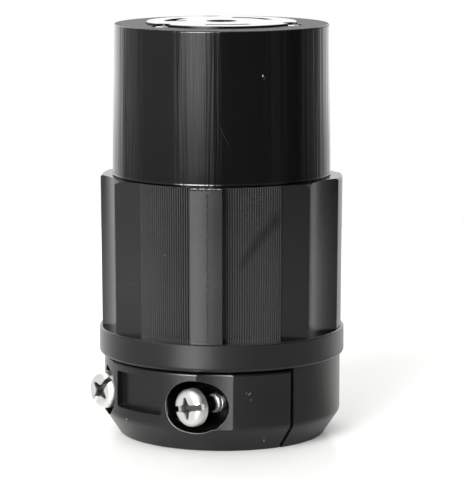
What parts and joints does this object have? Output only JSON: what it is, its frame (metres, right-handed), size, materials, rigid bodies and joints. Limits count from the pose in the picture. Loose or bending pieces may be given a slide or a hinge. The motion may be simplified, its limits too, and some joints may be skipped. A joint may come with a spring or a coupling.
{
  "type": "locking cord connector",
  "caption": "Female twist-locking power connector for the end of a cord, with a ribbed grip, slotted contact face and a screw-down cord clamp.",
  "frame": {"origin": "centre of the flat cord end that the connector stands on, on the axis of the cord way", "axes": "+Z along the cord axis towards the contact face; the removable clamp half faces -Y"},
  "size_m": [0.057, 0.057, 0.0959],
  "materials": {
    "satin_black_nylon": "satin moulded",
    "gloss_black_nylon": "polished moulded",
    "carrier_plastic": "matte moulded",
    "shield_rubber": "matte",
    "nickel_steel": "bright nickel plate",
    "green_steel": "green passivated",
    "contact_brass": "stamped"
  },
  "bodies": {
    "root": {"rear_housing": "satin_black_nylon", "cord_clamp": "satin_black_nylon", "nose_housing": "gloss_black_nylon", "contact_face": "gloss_black_nylon", "contact_carrier": "carrier_plastic", "terminal_retainer": "carrier_plastic", "dust_shield": "shield_rubber", "face_screw": "nickel_steel", "clamp_screw_left": "nickel_steel", "clamp_screw_right": "nickel_steel", "clamp_nut_left": "nickel_steel", "clamp_nut_right": "nickel_steel", "assembly_screw_1": "nickel_steel", "assembly_screw_2": "nickel_steel", "assembly_screw_3": "nickel_steel", "ground_contact": "contact_brass", "neutral_contact": "contact_brass", "line_contact": "contact_brass", "ground_pressure_plate": "nickel_steel", "neutral_pressure_plate": "nickel_steel", "line_pressure_plate": "nickel_steel", "ground_terminal_screw": "green_steel", "neutral_terminal_screw": "nickel_steel", "line_terminal_screw": "contact_brass"}
  },
  "joints": []
}
